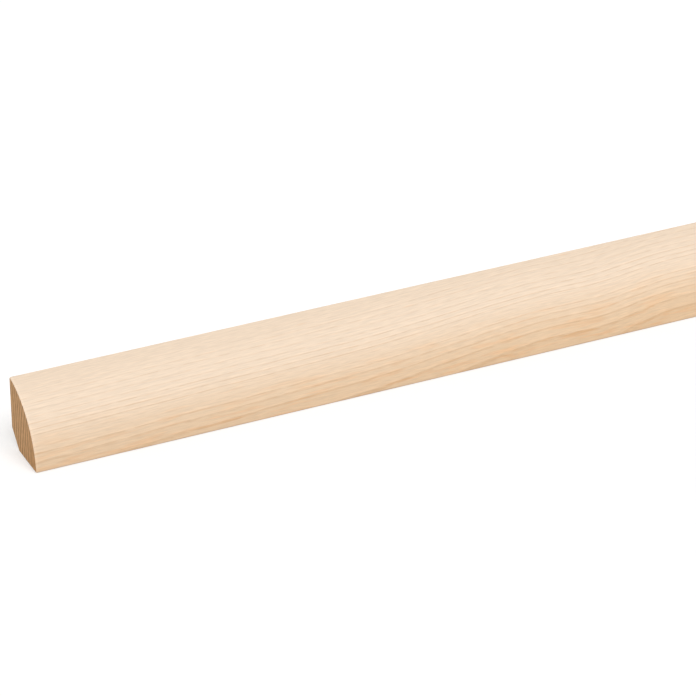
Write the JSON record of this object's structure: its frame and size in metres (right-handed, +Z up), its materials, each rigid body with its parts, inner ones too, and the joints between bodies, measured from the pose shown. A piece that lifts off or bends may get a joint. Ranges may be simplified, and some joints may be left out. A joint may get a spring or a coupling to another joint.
{
  "type": "quarter round moulding",
  "caption": "Length of planed softwood quarter round moulding with a relieved heel and square sawn ends, for covering the joint between a wall and a floor.",
  "frame": {"origin": "middle of the underside, at mid length and midway between the front edge and the wall face", "axes": "+X along the stock, +Y from the room towards the wall face, +Z up"},
  "size_m": [1, 0.018, 0.0207],
  "materials": {
    "softwood": "matte"
  },
  "bodies": {
    "root": {"moulding": "softwood"}
  },
  "joints": []
}
